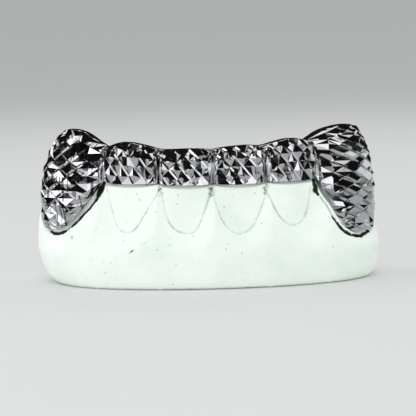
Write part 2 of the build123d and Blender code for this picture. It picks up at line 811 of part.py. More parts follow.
def cast_chain(column, edge, base, pocket):
    """Points of the plaster under one column, from the bottom of the base to the ridge."""
    insets = (WALL_SIDE + FIT_GAP, WALL_TOP + FIT_GAP, WALL_RIM + FIT_GAP)
    tooth = [section_point(column, s, *insets) for s in CAVITY_SHARES]
    start = tooth[0]
    gum = gum_height(column)
    share = canine_share(column)
    reach = math.dist(start[:2], edge[:2])
    deep = math.dist(column.foot, column.top[:2])
    grow = math.dist(column.full, column.top[:2]) / deep - 1.0
    push = ((start[0] - column.top[0]) * grow, (start[1] - column.top[1]) * grow)
    chain = foot_points(column, edge, base)
    for row in reversed(LEDGES):
        if column.behind:
            out = row.back_out
            low = mix(start[2], edge[2], row.back_down)
        else:
            out = mix(row.out, row.canine_out, share)
            low = mix(start[2], gum, min(row.down, 1.0))
            low += (edge[2] - gum) * max(0.0, row.down - 1.0)
            low = mix(low, mix(start[2], edge[2], row.canine_down), share)
        origin = (start[0] + push[0] * row.fill, start[1] + push[1] * row.fill)
        out -= row.pocket * pocket * POCKET_DEPTH / reach
        low -= row.ditch * DITCH_DEPTH * ditch_share(column)
        chain.append((*blend(origin, edge[:2], out), low))
    return chain + tooth


def cast_chains(ring):
    """Points of the whole plaster cast, one chain per column."""
    count = len(ring)
    base = base_sizes(ring)
    edges = base_outlines(ring, base)
    pockets = [0.0 if c.behind else POCKETS.get(c.tooth, 0.0) for c in ring]
    chains = []
    for k in range(count):
        beside = max(pockets[k - 1], pockets[(k + 1) % count])
        pocket = max(pockets[k], POCKET_SPREAD * beside)
        chains.append(cast_chain(ring[k], edges[k], base, pocket))
    return chains


def save_solid(faces_of_points, name, shift):
    """Sew flat faces into a solid, move it into place and write it."""
    faces = []
    for corners in faces_of_points:
        points = [tuple(p + s for p, s in zip(point, shift)) for point in corners]
        faces.append(Face(Wire.make_polygon(points, close=True)))
    solid = Solid(Shell(faces))
    solid.label = name
    export_step(solid, f"parts/{name}.step")
    return solid


def main():
    """Build both pieces, with the origin under the middle of the cast, and write them."""
    os.makedirs("parts", exist_ok=True)
    ring = ring_columns()
    chains = cast_chains(ring)
    skin = closed_strips(chains, False)
    bottom = [chain[0] for chain in reversed(chains)]
    xs = [point[0] for chain in chains for point in chain]
    ys = [point[1] for chain in chains for point in chain]
    shift = (-0.5 * (min(xs) + max(xs)), -0.5 * (min(ys) + max(ys)), 0.0)
    save_solid(skin + [bottom], "plaster_cast", shift)
    save_solid(grill_triangles(ring), "grill", shift)


if __name__ == "__main__":
    main()
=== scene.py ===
import logging
import math
from dataclasses import dataclass
from enum import Enum
from functools import partial

import bmesh
import bpy
import numpy as np
from bmesh.types import BMEdge, BMFace, BMLayerItem, BMesh
from bpy.types import Material, Node, NodeSocket, NodeTree, Object
from mathutils import Matrix, Vector, noise
from mathutils.bvhtree import BVHTree


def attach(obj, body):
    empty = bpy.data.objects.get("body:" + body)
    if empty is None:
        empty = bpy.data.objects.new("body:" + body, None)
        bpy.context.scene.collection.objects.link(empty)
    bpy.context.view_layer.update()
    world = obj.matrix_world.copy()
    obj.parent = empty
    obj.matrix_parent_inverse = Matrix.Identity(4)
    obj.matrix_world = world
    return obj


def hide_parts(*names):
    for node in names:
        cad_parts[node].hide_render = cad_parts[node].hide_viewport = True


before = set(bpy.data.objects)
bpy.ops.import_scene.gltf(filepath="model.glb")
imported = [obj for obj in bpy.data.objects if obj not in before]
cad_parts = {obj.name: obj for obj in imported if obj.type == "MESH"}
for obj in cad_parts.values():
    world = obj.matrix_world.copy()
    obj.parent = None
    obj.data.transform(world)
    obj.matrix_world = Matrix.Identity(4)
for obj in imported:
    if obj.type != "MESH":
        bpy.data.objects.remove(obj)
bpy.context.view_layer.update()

LOG = logging.getLogger("grill")
MM = 0.001
BODY = "root"

Pair = tuple[float, float]
Triple = tuple[float, float, float]


class Slot(Enum):
    """Names of the two material slots."""

    SILVER = "silver"
    PLASTER = "plaster"


class Cut(Enum):
    """Values of the face attribute "cut", which is zero on the smooth metal."""

    FACET = 1
    STRIP = 2


class Mark(Enum):
    """What the plaster shows along a line, with its channel in the attribute "marks"."""

    # The crease and ditch channels carry painted shade; the stain channel is a real stain.
    CREASE = 0
    DITCH = 1
    STAIN = 2


def linear(code: str) -> tuple[float, float, float, float]:
    """Turn an sRGB hex code into a linear colour.

    Args:
        code: Six hex digits, with or without a leading hash.

    Returns:
        Red, green, blue and alpha, with alpha one.
    """
    digits = code.lstrip("#")
    values = [int(digits[i:i + 2], 16) / 255.0 for i in (0, 2, 4)]
    curve = [v / 12.92 if v <= 0.04045 else ((v + 0.055) / 1.055) ** 2.4 for v in values]
    return (curve[0], curve[1], curve[2], 1.0)


def add_node(tree: NodeTree, kind: str, inputs: dict | None = None, **settings) -> Node:
    """Add one node with its settings, socket values and links.

    Args:
        tree: Node tree that gets the node.
        kind: Blender's name of the node type, without ShaderNode at its start.
        inputs: Socket values or output sockets to link, by input name or number.
        settings: Properties of the node.

    Returns:
        The new node.
    """
    node = tree.nodes.new("ShaderNode" + kind)
    for name, value in settings.items():
        setattr(node, name, value)
    for key, value in (inputs or {}).items():
        if isinstance(value, NodeSocket):
            tree.links.new(value, node.inputs[key])
        else:
            node.inputs[key].default_value = value
    return node


def node_material(name: str) -> tuple[Material, partial, NodeSocket]:
    """Start a procedural material.

    Args:
        name: Name of the material.

    Returns:
        The material, add_node for its tree, and a socket with the place in millimetres.
    """
    material = bpy.data.materials.new(name)
    material.use_nodes = True
    material.node_tree.nodes.clear()
    add = partial(add_node, material.node_tree)
    place = add("TexCoord")
    scale = (1.0 / MM, 1.0 / MM, 1.0 / MM)
    in_mm = add("Mapping", {0: place.outputs["Object"], "Scale": scale})
    return material, add, in_mm.outputs[0]


def facing(azimuth: float, elevation: float) -> Vector:
    """Turn two angles into a direction away from the teeth.

    Args:
        azimuth: Degrees to the right, with zero straight in front.
        elevation: Degrees upwards.

    Returns:
        A unit vector.
    """
    turn, rise = math.radians(azimuth), math.radians(elevation)
    return Vector((
        math.sin(turn) * math.cos(rise), -math.cos(turn) * math.cos(rise), math.sin(rise),
    ))


def activate(piece: Object) -> None:
    """Deselect everything, then select one object and make it active."""
    bpy.ops.object.select_all(action="DESELECT")
    piece.select_set(True)
    bpy.context.view_layer.objects.active = piece


def edit(piece: Object, kind: str, action: str = "DESELECT") -> None:
    """Enter edit mode and select all or nothing.

    Args:
        piece: Object to edit.
        kind: What can be selected: VERT, EDGE or FACE.
        action: SELECT or DESELECT.
    """
    activate(piece)
    bpy.ops.object.mode_set(mode="EDIT")
    bpy.ops.mesh.select_mode(type=kind)
    bpy.ops.mesh.select_all(action=action)


def in_edit(piece: Object) -> tuple[BMesh, BMLayerItem]:
    """Give the mesh of a piece in edit mode, and its face attribute "cut"."""
    work = bmesh.from_edit_mesh(piece.data)
    return work, work.faces.layers.int["cut"]


def opened(piece: Object) -> tuple[BMesh, BMLayerItem]:
    """Load the mesh of a piece in object mode, and its face attribute "cut", made if missing."""
    work = bmesh.new()
    work.from_mesh(piece.data)
    layers = work.faces.layers.int
    return work, layers.get("cut") or layers.new("cut")


def write_back(work: BMesh, piece: Object) -> None:
    """Put a loaded mesh back into its piece and free it."""
    work.to_mesh(piece.data)
    work.free()


def apply_modifier(piece: Object, kind: str, **settings) -> None:
    """Add a modifier of Blender's kind to a piece with its settings, and apply it."""
    activate(piece)
    modifier = piece.modifiers.new(kind.lower(), kind)
    for name, value in settings.items():
        setattr(modifier, name, value)
    bpy.ops.object.modifier_apply(modifier=modifier.name)


def merged_copy(node: str, name: str, weld: float) -> Object:
    """Copy a CAD node's mesh into a new piece and join its loose triangles.

    Args:
        node: Name of the CAD node.
        name: Name of the new piece.
        weld: Distance in metres under which points become one.

    Returns:
        The new piece, at the origin.
    """
    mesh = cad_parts[node].data.copy()
    mesh.name = name
    mesh.materials.clear()
    piece = bpy.data.objects.new(name, mesh)
    bpy.context.scene.collection.objects.link(piece)
    activate(piece)
    bpy.ops.mesh.customdata_custom_splitnormals_clear()
    edit(piece, "VERT", "SELECT")
    bpy.ops.mesh.remove_doubles(threshold=weld)
    bpy.ops.object.mode_set(mode="OBJECT")
    return piece


@dataclass(frozen=True)
class PolishedSilver:
    """Sterling silver, cast, soldered and hand-cut, then buffed.

    Buffing leaves a mirror that shows the studio, with hair-fine wheel lines and a slight
    waviness where the metal was filed. The grooves between the caps are satin, with rubbed
    streaks of tarnish on a paler base colour that is painted sheen, and patches of the cut keep
    dark tool lines. Each range is the span of a noise pattern over which its effect goes from
    nothing to full.
    """

    name: str = "polished_sterling_silver"
    colour: str = "#BCBDBF"
    worn: str = "#AEAFB2"
    # Paler satin base colour: painted sheen on the buffed grooves between the caps.
    satin_sheen_colour: str = "#D6D7D9"
    tarnish: str = "#3E3F41"
    roughness: float = 0.05
    hazy: float = 0.12
    satin_roughness: float = 0.12
    smear_mm: float = 1.4
    haze_range: Pair = (0.45, 0.75)
    streak_mm: float = 0.30
    streak_stretch: Triple = (1.0, 1.0, 0.11)
    streak_range: Pair = (0.40, 0.53)
    streak_depth_mm: float = 0.035
    line_mm: float = 0.045
    line_turn: Triple = (0.0, 0.6, 0.3)
    line_stretch: Triple = (0.08, 1.0, 1.0)
    line_strength: float = 0.04
    line_depth_mm: float = 0.004
    wave_mm: float = 1.1
    wave_strength: float = 0.10
    wave_depth_mm: float = 0.10
    hatch_mm: float = 0.20
    hatch_turn: Triple = (0.0, 0.12, math.radians(47.0))
    hatch_stretch: Triple = (1.0, 0.02, 0.06)
    hatch_range: Pair = (0.55, 0.60)
    hatch_share: float = 0.85

    def material(self) -> Material:
        """Build the node material.

        Returns:
            The material.
        """
        material, add, place = node_material(self.name)
        worked = add("VertexColor", layer_name="worked")
        shares = add("SeparateColor", {0: worked.outputs["Color"]})
        satin, hatched = shares.outputs[0], shares.outputs[1]
        upright = add("Mapping", {0: place, "Scale": self.streak_stretch})
        aslant = add("Mapping", {0: place, "Rotation": self.line_turn, "Scale": self.line_stretch})
        turned = add("Mapping", {0: place, "Rotation": self.hatch_turn})
        across = add("Mapping", {0: turned.outputs[0], "Scale": self.hatch_stretch})
        smear, streaks, lines, waves, hatch = (
            add("TexNoise", {"Vector": spot, "Scale": 1.0 / size, "Detail": detail}).outputs["Fac"]
            for spot, size, detail in (
                (place, self.smear_mm, 3.0),
                (upright.outputs[0], self.streak_mm, 2.0),
                (aslant.outputs[0], self.line_mm, 1.0),
                (place, self.wave_mm, 1.0),
                (across.outputs[0], self.hatch_mm, 0.0),
            )
        )
        haze, rubbed, tool_lines = (
            add("MapRange", dict(enumerate(row))).outputs[0]
            for row in (
                (smear, *self.haze_range, self.roughness, self.hazy),
                (streaks, *self.streak_range, 0.0, 1.0),
                (hatch, *self.hatch_range, 0.0, self.hatch_share),
            )
        )
        tint = add("Mix", {0: smear, 6: linear(self.colour), 7: linear(self.worn)}, data_type="RGBA")
        # In the satin grooves the colour runs between the metal's own tarnish streaks and the paler
        # satin colour, which is painted sheen.
        sheen_and_tarnish = add(
            "Mix", {0: rubbed, 6: linear(self.tarnish), 7: linear(self.satin_sheen_colour)}, data_type="RGBA",
        )
        colour = add("Mix", {0: satin, 6: tint.outputs[2], 7: sheen_and_tarnish.outputs[2]}, data_type="RGBA")
        in_patch = add("Math", {0: tool_lines, 1: hatched}, operation="MULTIPLY")
        lined = add(
            "Mix", {0: in_patch.outputs[0], 6: colour.outputs[2], 7: linear(self.tarnish)},
            data_type="RGBA",
        )
        matt = add("Math", {0: satin, 1: self.satin_roughness, 2: haze}, operation="MULTIPLY_ADD")
        under = {}
        for height, strength, depth_mm in (
            (waves, self.wave_strength, self.wave_depth_mm),
            (lines, self.line_strength, self.line_depth_mm),
            (streaks, satin, self.streak_depth_mm),
        ):
            bump = add(
                "Bump", {"Height": height, "Strength": strength, "Distance": depth_mm * MM, **under},
            )
            under = {"Normal": bump.outputs[0]}
        shader = add(
            "BsdfPrincipled",
            {"Base Color": lined.outputs[2], "Metallic": 1.0, "Roughness": matt.outputs[0], **under},
        )
        add("OutputMaterial", {"Surface": shader.outputs[0]})
        return material


@dataclass(frozen=True)
class DentalPlaster:
    """White dental plaster, poured into an impression and trimmed.

    It dries to a dull, slightly green white. Its pressed creases, ditches and gaps are darkened
    with painted shade, and air leaves small pinholes, darkened with painted shade and drawn a
    little coarse so that they show. Green stains sit below the contacts. The edge of a mark is
    how far flecks break it up, and half the span over which it fades.
    """

    name: str = "poured_dental_plaster"
    colour: str = "#F3FAF3"
    cool: str = "#E9F3EA"
    # Crease colour: painted shade in the pressed gum-line creases, the hair line and one spot.
    crease_shade: str = "#A9BCA6"
    stain: str = "#4C6640"
    # Ditch colour: near-black painted shadow in the ditches and gaps by the canines and in the scratch.
    ditch_shadow: str = "#101A10"
    # Pinhole colour: painted shade in the pits.
    pinhole_shade: str = "#93A08C"
    roughness: float = 0.82
    refraction: float = 1.52
    cloud_mm: float = 5.0
    cloud_range: Pair = (0.40, 0.68)
    fleck_mm: float = 0.30
    crease_edge: Pair = (0.55, 0.55)
    stain_edge: Pair = (1.30, 0.34)
    ditch_edge: Pair = (0.55, 0.22)
    grain_mm: float = 0.20
    grain_strength: float = 0.25
    grain_depth_mm: float = 0.03
    pinhole_core_mm: float = 0.036
    pinhole_rim_mm: float = 0.090
    pinhole_pit: float = 3.0
    pinholes: tuple[Triple, ...] = (
        (-7.90, -4.75, 9.57), (-7.73, -4.93, 8.98), (-3.86, -5.99, 9.47), (-3.98, -6.08, 8.58),
        (-6.18, -6.36, 7.85), (-9.46, -5.55, 4.99), (-7.32, -6.76, 4.80), (-2.50, -6.94, 5.40),
        (3.92, -5.89, 9.47), (3.95, -6.20, 6.87), (4.52, -6.53, 6.49), (0.71, -6.45, 8.19),
        (0.94, -7.71, 4.58), (0.72, -7.83, 4.09), (2.33, -7.75, 3.64), (11.90, -4.96, 3.70),
        (-1.88, -7.76, 4.26), (-4.85, -7.30, 4.59), (-6.16, -7.22, 4.11), (-4.63, -7.38, 0.56),
        (-10.76, -5.69, 2.79), (-11.33, -5.32, 1.72), (-15.66, -0.57, 0.48),
    )

    def material(self) -> Material:
        """Build the node material.

        Returns:
            The material.
        """
        material, add, place = node_material(self.name)
        cloud, fleck, grain = (
            add("TexNoise", {"Vector": place, "Scale": 1.0 / size, "Detail": detail}).outputs["Fac"]
            for size, detail in ((self.cloud_mm, 4.0), (self.fleck_mm, 3.0), (self.grain_mm, 4.0))
        )
        low, high = self.cloud_range
        patch = add("MapRange", {0: cloud, 1: low, 2: high})
        tint = add(
            "Mix", {0: patch.outputs[0], 6: linear(self.colour), 7: linear(self.cool)},
            data_type="RGBA",
        )
        colour = tint.outputs[2]
        marks = add("VertexColor", layer_name="marks")
        parts = add("SeparateColor", {0: marks.outputs["Color"]})
        # Crease and ditch marks lay painted shade over the plaster colour; the stain mark is a real
        # stain.
        for mark, code, (spread, soft) in (
            (Mark.CREASE, self.crease_shade, self.crease_edge),
            (Mark.STAIN, self.stain, self.stain_edge),
            (Mark.DITCH, self.ditch_shadow, self.ditch_edge),
        ):
            broken = add("Math", {0: fleck, 1: spread, 2: -0.5 * spread}, operation="MULTIPLY_ADD")
            strength = parts.outputs[mark.value]
            total = add("Math", {0: strength, 1: broken.outputs[0]}, operation="ADD")
            share = add(
                "MapRange", {0: total.outputs[0], 1: 0.5 - soft, 2: 0.5 + soft},
                interpolation_type="SMOOTHSTEP",
            )
            layer = add("Mix", {0: share.outputs[0], 6: colour, 7: linear(code)}, data_type="RGBA")
            colour = layer.outputs[2]
        gaps = [add("VectorMath", {0: place, 1: spot}, operation="DISTANCE") for spot in self.pinholes]
        nearest = gaps[0].outputs["Value"]
        for gap in gaps[1:]:
            least = add("Math", {0: nearest, 1: gap.outputs["Value"]}, operation="MINIMUM")
            nearest = least.outputs[0]
        # The pinholes are pitted by the bump and darkened with painted shade.
        hole = add(
            "MapRange", {0: nearest, 1: self.pinhole_core_mm, 2: self.pinhole_rim_mm, 3: 1.0, 4: 0.0},
            interpolation_type="SMOOTHSTEP",
        )
        with_pinhole_shade = add("Mix", {0: hole.outputs[0], 6: colour, 7: linear(self.pinhole_shade)}, data_type="RGBA")
        pitted = add(
            "Math", {0: hole.outputs[0], 1: -self.pinhole_pit, 2: grain}, operation="MULTIPLY_ADD",
        )
        bump = add(
            "Bump",
            {"Height": pitted.outputs[0], "Strength": self.grain_strength,
             "Distance": self.grain_depth_mm * MM},
        )
        shader = add(
            "BsdfPrincipled",
            {"Base Color": with_pinhole_shade.outputs[2], "Roughness": self.roughness, "IOR": self.refraction,
             "Normal": bump.outputs[0]},
        )
        add("OutputMaterial", {"Surface": shader.outputs[0]})
        return material


@dataclass(frozen=True)
class MattSurface:
    """Plain matt card or cloth of the studio."""

    name: str
    colour: str
    roughness: float

    def material(self) -> Material:
        """Build the material."""
        material = bpy.data.materials.new(self.name)
        material.use_nodes = True
        shader = material.node_tree.nodes["Principled BSDF"]
        shader.inputs["Base Color"].default_value = linear(self.colour)
        shader.inputs["Roughness"].default_value = self.roughness
        return material


@dataclass
class DiamondCutGrill:
    """The six silver caps: a copy of the CAD metal with crisp cuts, flat strips and smooth bands.

    A contact is the middle of a smooth groove between two caps: its place in millimetres and the
    way it faces in degrees. A bridge is the number of a cap, the share of a groove that stays
    down at each end, and how far its middle is filled.
    """

    weld_mm: float = 0.002
    groove_angle: float = 13.0
    rim_angle: float = 50.0
    ray_start_mm: float = 0.02
    growth: int = 3
    contacts: tuple[Triple, ...] = (
        (-10.25, -0.73, -37.0), (-5.27, -3.38, -16.0), (-0.30, -4.08, 0.0), (4.67, -3.38, 16.0),
        (9.65, -0.73, 37.0),
    )
    contact_reach_mm: float = 0.42
    column_reach_mm: float = 0.47
    column_depth_mm: Pair = (0.2, 2.6)
    canine_turn: float = 57.0
    seed: int = 9
    wedge_top_mm: float = 10.6
    wedge_area_mm2: float = 0.1
    wedge_least_front: float = 0.4
    wedge_most_tilt: float = 0.2
    wedge_lift_mm: float = 0.11
    wedge_lifts: Pair = (-0.3, 1.0)
    slides_mm: tuple[float, ...] = (0.0, 0.30, 0.30, 0.30, 0.30, 0.10)
    top_bend_rad: float = 0.02
    wanders_mm: tuple[float, ...] = (0.04, 0.055, 0.055, 0.055, 0.055, 0.02)
    drift_length_mm: float = 1.9
    drifts_mm: tuple[float, ...] = (0.20, 0.20, 0.20, 0.20, 0.20, 0.07)
    drift_starts: tuple[Triple, ...] = ((5.1, 11.3, 5.9), (36.5, 7.2, 17.6), (20.0, 47.1, 23.5))
    bridges: tuple[tuple[int, float, float], ...] = ((0, 0.10, 0.55), (5, 0.20, 0.95))
    partner_reach: float = 0.45
    strips_mm: tuple[float, ...] = (0.0, 0.21, 0.20, 0.20, 0.19, 0.0)
    strip_from_mm: float = 0.38
    strip_rise: float = 10.0
    least_lean: float = 0.5
    hatch_patch_mm: float = 1.5
    hatch_from: float = 0.02

    def build(self, finish: PolishedSilver) -> Object:
        """Model and dress the grill.

        Args:
            finish: Finish of the metal.

        Returns:
            The finished piece.
        """
        piece = merged_copy("grill", "diamond_cut_grill", self.weld_mm * MM)
        self.mark_cuts(piece)
        self.facet_wedges(piece)
        self.slide_cuts(piece)
        self.unevenness(piece)
        self.bridge_flats(piece)
        self.cut_strips(piece)
        self.crease_cuts(piece)
        apply_modifier(piece, "SUBSURF", levels=1, render_levels=1)
        self.shade(piece)
        piece.data.materials.append(finish.material())
        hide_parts("grill")
        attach(piece, BODY)
        return piece

    def beside_contact(self, place: Vector, reach: float) -> bool:
        """Say whether a point lies in the smooth groove between two caps.

        Args:
            place: The point in metres.
            reach: Distance in millimetres to each side that counts as the groove.

        Returns:
            True in the groove.
        """
        near, far = self.column_depth_mm
        for x, y, degrees in self.contacts:
            turn = math.radians(degrees)
            off_x = place.x / MM - x
            off_y = place.y / MM - y
            ahead = off_x * math.sin(turn) - off_y * math.cos(turn)
            aside = off_x * math.cos(turn) + off_y * math.sin(turn)
            if near < ahead < far and abs(aside) < reach:
                return True
        return False

    def open_air(self, tree: BVHTree, place: Vector, way: Vector) -> bool:
        """Say whether a ray from just above a point of the metal meets no more metal."""
        return tree.ray_cast(place + way * self.ray_start_mm * MM, way)[0] is None

    def mark_cuts(self, piece: Object) -> None:
        """Mark the faces of the diamond cut as facets in the face attribute "cut".

        Args:
            piece: The merged copy of the metal.
        """
        work, layer = opened(piece)
        tree = BVHTree.FromBMesh(work)
        limit = -math.radians(self.groove_angle)
        found = set()
        for edge in work.edges:
            if edge.calc_face_angle_signed(0.0) >= limit:
                continue
            middle = 0.5 * (edge.verts[0].co + edge.verts[1].co)
            outwards = sum((face.normal for face in edge.link_faces), Vector()).normalized()
            free = self.open_air(tree, middle, outwards)
            if free and not self.beside_contact(middle, self.contact_reach_mm):
                found.update(edge.link_faces)
        for _ in range(self.growth):
            flats = set()
            for face in work.faces:
                around = [other for edge in face.edges for other in edge.link_faces if other is not face]
                near = sum(other in found for other in around)
                middle = face.calc_center_median()
                if near >= 2 and not self.beside_contact(middle, self.contact_reach_mm):
                    flats.add(face)
            found |= flats
        for face in found:
            face[layer] = Cut.FACET.value
        write_back(work, piece)

    def facet_wedges(self, piece: Object) -> None:
        """Cut low facets into the smooth wedges between the diamond cut and the canines' margins.

        Args:
            piece: The merged copy of the metal.
        """
        rng = np.random.default_rng(self.seed + 2)
        work, layer = opened(piece)
        tree = BVHTree.FromBMesh(work)
        last = len(self.contacts)
        wedges = []
        for face in work.faces:
            middle = face.calc_center_median()
            normal = face.normal
            on_canine = self.cap_number(middle) in (0, last) and middle.z <= self.wedge_top_mm * MM
            if face[layer] or not on_canine:
                continue
            upright = normal.y < -self.wedge_least_front and abs(normal.z) < self.wedge_most_tilt
            large = face.calc_area() > self.wedge_area_mm2 * MM * MM
            if upright and large and self.open_air(tree, middle, normal):
                wedges.append(face)
        made = bmesh.ops.poke(work, faces=wedges)
        for face in made["faces"]:
            face[layer] = Cut.FACET.value
        for vert in made["verts"]:
            lift = rng.uniform(*self.wedge_lifts) * self.wedge_lift_mm * MM
            slip = Vector(rng.normal(0.0, self.wedge_lift_mm * MM, 3))
            vert.co += vert.normal * lift + slip - vert.normal * slip.dot(vert.normal)
        write_back(work, piece)

    def unevenness(self, piece: Object) -> None:
        """Shift the tops of the cut, in drifts and one by one, as a hand-held tool leaves them."""
        rng = np.random.default_rng(self.seed)
        work, layer = opened(piece)
        for vert in work.verts:
            cut = all(face[layer] for face in vert.link_faces)
            bends = [edge.calc_face_angle_signed(0.0) for edge in vert.link_edges]
            top = all(bend > -self.top_bend_rad for bend in bends)
            wander = self.wanders_mm[self.cap_number(vert.co)] * MM
            shift = self.drift(vert.co) + Vector(rng.normal(0.0, wander, 3))
            if cut and top:
                vert.co += shift - vert.normal * shift.dot(vert.normal)
        write_back(work, piece)

    def drift(self, place: Vector) -> Vector:
        """Give the slow wander of the tool at a point, in metres."""
        spot = place / (self.drift_length_mm * MM)
        shift = Vector([noise.noise(spot + Vector(start)) for start in self.drift_starts])
        return shift * self.drifts_mm[self.cap_number(place)] * MM

    def cap_number(self, place: Vector) -> int:
        """Give the number of the cap that a point lies on, counted from the left."""
        return sum(place.x / MM > row[0] for row in self.contacts)

    def slide_cuts(self, piece: Object) -> None:
        """Slide each falling groove along itself, so that the cuts don't stand in level rows.

        Args:
            piece: The merged copy of the metal.
        """
        rng = np.random.default_rng(self.seed + 1)
        work, layer = opened(piece)
        limit = -math.radians(self.groove_angle)
        grooves = {
            edge for edge in work.edges
            if all(face[layer] for face in edge.link_faces)
            and edge.calc_face_angle_signed(0.0) < limit and self.falls(edge)
        }
        shifts = {}
        seen = set()
        for first in sorted(grooves, key=lambda edge: edge.index):
            if first in seen:
                continue
            most = self.slides_mm[self.cap_number(first.verts[0].co)]
            by = rng.uniform(-most, most) * MM
            stack = [first]
            while stack:
                edge = stack.pop()
                if edge in seen:
                    continue
                seen.add(edge)
                run = edge.verts[1].co - edge.verts[0].co
                run = (run if run.z > 0.0 else -run).normalized()
                for vert in edge.verts:
                    shifts[vert] = run * by
                    stack += [other for other in vert.link_edges if other in grooves]
        inner = [vert for vert in work.verts if all(face[layer] for face in vert.link_faces)]
        moves = {vert: shifts[vert] for vert in inner if vert in shifts}
        for vert in inner:
            if vert in shifts:
                continue
            near = [edge.other_vert(vert) for edge in vert.link_edges]
            found = [shifts[other] for other in near if other in shifts]
            if found:
                moves[vert] = sum(found, Vector()) / len(found)
        for vert, move in moves.items():
            vert.co += move
        write_back(work, piece)

    def bridge_flats(self, piece: Object) -> None:
        """Fill the rising grooves of the canines, so that the flats run on in long strips.

        Args:
            piece: The merged copy of the metal.
        """
        work, layer = opened(piece)
        limit = -math.radians(self.groove_angle)
        for number, share, fill in self.bridges:
            rising = [
                edge for edge in work.edges
                if len(edge.link_faces) == 2 and all(face[layer] for face in edge.link_faces)
                and edge.calc_face_angle_signed(0.0) < limit and not self.falls(edge)
                and self.cap_number(edge.verts[0].co) == number
            ]
            for edge in rising:
                if edge.is_valid and all(len(face.verts) == 3 for face in edge.link_faces):
                    self.bridge(edge, share, fill)
        write_back(work, piece)

    def bridge(self, edge: BMEdge, share: float, fill: float) -> None:
        """Raise the middle of one groove edge to the flats or tops at its two sides.

        Args:
            edge: The groove edge, between two triangles.
            share: Share of the edge at each end that stays down as a notch.
            fill: How far the middle rises, with one for level with the flats.
        """
        first, last = edge.verts
        normal = sum((face.normal for face in edge.link_faces), Vector()).normalized()
        sides = [self.flat_side(face, edge) for face in edge.link_faces]
        if sides[0][1] is not None and sides[0][1] is sides[1][1]:
            return
        tops = [vert.co for side in sides for vert in side[2]]
        level = sum(tops, Vector()) / len(tops)
        rise = (level - 0.5 * (first.co + last.co)).dot(normal) * fill
        if rise <= 0.0:
            return
        for face, beyond, _ in sides:
            if beyond is not None:
                bmesh.utils.face_join((face, beyond))
        start = bmesh.utils.edge_split(edge, first, share)[1]
        end = bmesh.utils.edge_split(edge, last, share / (1.0 - share))[1]
        for _, _, corners in sides:
            near = min(corners, key=lambda vert: (vert.co - first.co).length)
            away = min(corners, key=lambda vert: (vert.co - last.co).length)
            for one, other in ((start, near), (end, away)):
                shared = [face for face in one.link_faces if other in face.verts]
                if shared and not any(other in spoke.verts for spoke in one.link_edges):
                    bmesh.utils.face_split(shared[0], one, other)
        start.co += normal * rise
        end.co += normal * rise

    def flat_side(self, face: BMFace, edge: BMEdge) -> tuple:
        """Find the other triangle of the slope between a groove edge and a flat.

        Args:
            face: Triangle beside the groove edge.
            edge: The groove edge.

        Returns:
            The triangle, its partner or None, and the corners of the flat that the slope meets.
        """
        corner = next(vert for vert in face.verts if vert not in edge.verts)
        nearest = self.partner_reach * edge.calc_length()
        partner, corners = None, [corner]
        for other in face.edges:
            for across in other.link_faces:
                if other is edge or across is face or len(across.verts) != 3:
                    continue
                far = next(vert for vert in across.verts if vert not in other.verts)
                apart = min((far.co - vert.co).length for vert in edge.verts)
                if far not in edge.verts and apart < nearest:
                    nearest, partner, corners = apart, across, [corner, far]
        return face, partner, corners

    def cut_strips(self, piece: Object) -> None:
        """Cut a flat strip along the grooves that fall to the right.

        Args:
            piece: The merged copy of the metal.
        """
        edit(piece, "EDGE")
        limit = -math.radians(self.groove_angle)
        for number, strip_mm in enumerate(self.strips_mm):
            bpy.ops.mesh.select_all(action="DESELECT")
            work, layer = in_edit(piece)
            room = strip_mm * MM
            for edge in work.edges:
                if len(edge.link_faces) != 2 or not all(face[layer] for face in edge.link_faces):
                    continue
                long = edge.calc_length()
                if long < self.strip_from_mm * MM:
                    continue
                here = self.cap_number(edge.verts[0].co) == number
                wide = all(2.0 * face.calc_area() / long > room for face in edge.link_faces)
                deep = edge.calc_face_angle_signed(0.0) < limit
                edge.select_set(here and wide and deep and self.falls(edge))
            bmesh.update_edit_mesh(piece.data)
            if room == 0.0 or not any(edge.select for edge in work.edges):
                continue
            bpy.ops.mesh.bevel(
                offset=0.5 * room, offset_type="OFFSET", segments=1, profile=0.5, clamp_overlap=False,
            )
            work, layer = in_edit(piece)
            for face in work.faces:
                if face.select:
                    face[layer] = Cut.STRIP.value
            bmesh.update_edit_mesh(piece.data)
        self.lean_strips(piece)
        bpy.ops.object.mode_set(mode="OBJECT")

    def lean_strips(self, piece: Object) -> None:
        """Turn each flat strip about its length, so that it faces the way of its cap.

        Args:
            piece: The metal with its strips, in edit mode.
        """
        work, layer = in_edit(piece)
        shifts = {}
        for face in work.faces:
            if face[layer] != Cut.STRIP.value:
                continue
            middle = face.calc_center_median()
            longest = max(face.edges, key=lambda edge: edge.calc_length())
            along = (longest.verts[1].co - longest.verts[0].co).normalized()
            wanted = self.cap_facing(middle)
            lean = (wanted - along * wanted.dot(along)).normalized()
            for vert in face.verts:
                if not all(other[layer] for other in vert.link_faces):
                    continue
                across = vert.co - middle
                across -= along * across.dot(along)
                off = -across.dot(lean) / max(face.normal.dot(lean), self.least_lean)
                shifts.setdefault(vert, []).append(off * face.normal)
        for vert, moves in shifts.items():
            vert.co += sum(moves, Vector()) / len(moves)
        bmesh.update_edit_mesh(piece.data)

    def cap_facing(self, place: Vector) -> Vector:
        """Give the way that the strips near a point face: the way of its cap, a little upwards."""
        turns = [-self.canine_turn] + [row[2] for row in self.contacts] + [self.canine_turn]
        index = self.cap_number(place)
        return facing(0.5 * (turns[index] + turns[index + 1]), self.strip_rise)

    def falls(self, edge: BMEdge) -> bool:
        """Say whether an edge of the front falls to the right."""
        along = edge.verts[1].co - edge.verts[0].co
        normal = edge.link_faces[0].normal + edge.link_faces[1].normal
        return along.dot(Vector((-normal.y, normal.x, 0.0))) * along.z < 0.0

